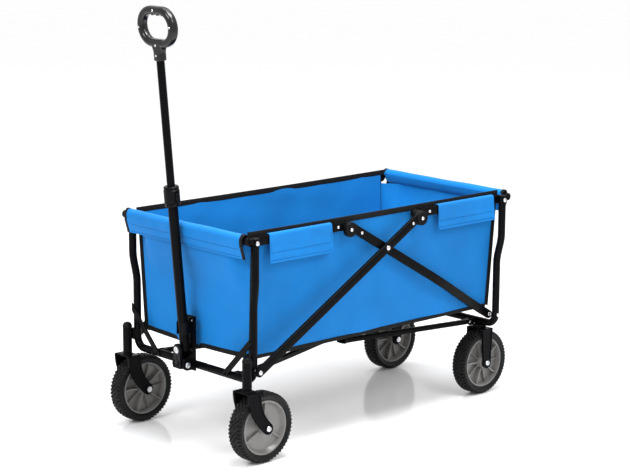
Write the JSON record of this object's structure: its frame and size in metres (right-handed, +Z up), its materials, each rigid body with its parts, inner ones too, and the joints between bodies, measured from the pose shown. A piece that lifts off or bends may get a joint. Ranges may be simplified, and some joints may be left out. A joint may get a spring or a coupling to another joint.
{
  "type": "folding beach cart",
  "caption": "Folding fabric beach cart on a black steel scissor frame, with swivel front wheels, fixed rear wheels and a telescopic pull handle.",
  "frame": {"origin": "on the ground under the middle of the cart's outline", "axes": "+X to the cart's right, +Y towards the rear wheels, so the handle is at -Y, +Z up"},
  "size_m": [0.5466, 1.0816, 1.1078],
  "materials": {
    "black_steel": "satin black powder coat",
    "bright_steel": "zinc-plated rivets and bolts",
    "black_plastic": "semi-gloss black moulding",
    "tyre_rubber": "matte black moulded tread",
    "grey_plastic": "satin grey moulding",
    "blue_fabric": "blue woven polyester with black binding",
    "floor_pad": "black woven polyester over board"
  },
  "bodies": {
    "front_frame": {"front_end_frame": "black_steel", "front_top_bar": "black_steel", "caster_sleeve_cap_left": "black_plastic", "caster_sleeve_cap_right": "black_plastic", "handle_bracket": "black_steel", "handle_clip": "black_plastic", "handle_pitch_bolt": "bright_steel", "fabric_tub": "blue_fabric", "floor_mat": "floor_pad"},
    "outer_diagonals": {"outer_diagonal_left": "black_steel", "outer_diagonal_right": "black_steel", "crossing_rivet_left": "bright_steel", "crossing_rivet_right": "bright_steel", "rear_diagonal_hinge_left": "black_plastic", "rear_diagonal_hinge_right": "black_plastic"},
    "inner_diagonals": {"inner_diagonal_left": "black_steel", "inner_diagonal_right": "black_steel", "front_diagonal_hinge_left": "black_plastic", "front_diagonal_hinge_right": "black_plastic"},
    "rear_frame": {"rear_end_frame": "black_steel", "rear_top_bar": "black_steel", "rear_fork_left": "black_steel", "rear_fork_right": "black_steel", "rear_axle_bolt_left": "bright_steel", "rear_axle_bolt_right": "bright_steel"},
    "front_rails": {"front_rail_left": "black_steel", "front_rail_right": "black_steel", "front_rail_hinge_left": "black_plastic", "front_rail_hinge_right": "black_plastic"},
    "rear_rails": {"rear_rail_left": "black_steel", "rear_rail_right": "black_steel", "rear_rail_hinge_left": "black_plastic", "rear_rail_hinge_right": "black_plastic"},
    "front_floor_links": {"front_floor_link_left": "black_steel", "front_floor_link_right": "black_steel"},
    "rear_floor_links": {"rear_floor_link_left": "black_steel", "rear_floor_link_right": "black_steel"},
    "floor_hub": {"floor_hub": "black_steel"},
    "handle_yoke": {"handle_yoke": "black_plastic", "handle_swing_screw": "bright_steel"},
    "handle_lower": {"handle_lower_tube": "black_steel", "handle_collar": "black_plastic"},
    "handle_upper": {"handle_upper_tube": "black_steel", "grip_front_shell": "black_plastic", "grip_rear_shell": "black_plastic"},
    "collar_button": {"collar_button": "black_plastic"},
    "caster_left": {"caster_fork_left": "black_steel", "front_axle_bolt_left": "bright_steel"},
    "front_wheel_left": {"front_tyre_left": "tyre_rubber", "front_wheel_left": "grey_plastic"},
    "rear_wheel_left": {"rear_tyre_left": "tyre_rubber", "rear_wheel_left": "grey_plastic"},
    "caster_right": {"caster_fork_right": "black_steel", "front_axle_bolt_right": "bright_steel"},
    "front_wheel_right": {"front_tyre_right": "tyre_rubber", "front_wheel_right": "grey_plastic"},
    "rear_wheel_right": {"rear_tyre_right": "tyre_rubber", "rear_wheel_right": "grey_plastic"}
  },
  "joints": [
    {"name": "fold", "type": "hinge", "parent": "front_frame", "child": "outer_diagonals", "pos_m": [0, -0.415, 0.2284], "axis": [1, 0, 0], "range_deg": [0, 48], "deforming": ["fabric_tub", "floor_mat"]},
    {"name": "fold_crossing", "type": "hinge", "parent": "outer_diagonals", "child": "inner_diagonals", "pos_m": [0, 0.017, 0.47888], "axis": [1, 0, 0], "range_deg": [-97, 0]},
    {"name": "fold_rear_foot", "type": "hinge", "parent": "inner_diagonals", "child": "rear_frame", "pos_m": [0, 0.449, 0.2284], "axis": [1, 0, 0], "range_deg": [0, 49]},
    {"name": "fold_front_rails", "type": "hinge", "parent": "front_frame", "child": "front_rails", "pos_m": [0, -0.4236, 0.5494], "axis": [1, 0, 0], "range_deg": [0, 76]},
    {"name": "fold_rear_rails", "type": "hinge", "parent": "rear_frame", "child": "rear_rails", "pos_m": [0, 0.4576, 0.5494], "axis": [1, 0, 0], "range_deg": [-76, 0]},
    {"name": "fold_front_floor", "type": "hinge", "parent": "front_frame", "child": "front_floor_links", "pos_m": [0, -0.395, 0.2], "axis": [1, 0, 0], "range_deg": [0, 80]},
    {"name": "fold_floor_hub", "type": "hinge", "parent": "front_floor_links", "child": "floor_hub", "pos_m": [0, 0.017, 0.2], "axis": [1, 0, 0], "range_deg": [-80, 0]},
    {"name": "fold_rear_floor", "type": "hinge", "parent": "rear_frame", "child": "rear_floor_links", "pos_m": [0, 0.429, 0.2], "axis": [1, 0, 0], "range_deg": [-80, 0]},
    {"name": "handle_pitch", "type": "hinge", "parent": "front_frame", "child": "handle_yoke", "pos_m": [0, -0.457, 0.209], "axis": [1, 0, 0], "range_deg": [0, 95], "deforming": ["handle_clip"]},
    {"name": "handle_swing", "type": "hinge", "parent": "handle_yoke", "child": "handle_lower", "pos_m": [0, -0.44825, 0.24996], "axis": [0, 0.9956, 0.0935], "range_deg": [-30, 30]},
    {"name": "handle_telescope", "type": "slide", "parent": "handle_lower", "child": "handle_upper", "axis": [0, -0.0935, 0.9956], "range_m": [-0.3, 0]},
    {"name": "collar_button_press", "type": "slide", "parent": "handle_lower", "child": "collar_button", "axis": [-1, 0, 0], "range_m": [0, 0.003], "stiffness_N_per_m": 600},
    {"name": "caster_swivel_left", "type": "hinge", "parent": "front_frame", "child": "caster_left", "pos_m": [-0.237, -0.447, 0.2], "axis": [0, 0, 1], "continuous": true},
    {"name": "front_wheel_spin_left", "type": "hinge", "parent": "caster_left", "child": "front_wheel_left", "pos_m": [-0.237, -0.404, 0.089], "axis": [1, 0, 0], "continuous": true},
    {"name": "rear_wheel_spin_left", "type": "hinge", "parent": "rear_frame", "child": "rear_wheel_left", "pos_m": [-0.174, 0.452, 0.089], "axis": [1, 0, 0], "continuous": true},
    {"name": "caster_swivel_right", "type": "hinge", "parent": "front_frame", "child": "caster_right", "pos_m": [0.237, -0.447, 0.2], "axis": [0, 0, 1], "continuous": true},
    {"name": "front_wheel_spin_right", "type": "hinge", "parent": "caster_right", "child": "front_wheel_right", "pos_m": [0.237, -0.404, 0.089], "axis": [1, 0, 0], "continuous": true},
    {"name": "rear_wheel_spin_right", "type": "hinge", "parent": "rear_frame", "child": "rear_wheel_right", "pos_m": [0.174, 0.452, 0.089], "axis": [1, 0, 0], "continuous": true}
  ],
  "couplings": [
    {"joint": "fold_crossing", "follows": "fold", "ratio": -2},
    {"joint": "fold_rear_foot", "follows": "fold", "ratio": 1},
    {"joint": "fold_front_rails", "follows": "fold", "ratio": 1.5604},
    {"joint": "fold_rear_rails", "follows": "fold", "ratio": -1.5604},
    {"joint": "fold_front_floor", "follows": "fold", "ratio": 1.633},
    {"joint": "fold_floor_hub", "follows": "fold", "ratio": -1.633},
    {"joint": "fold_rear_floor", "follows": "fold", "ratio": -1.633}
  ]
}
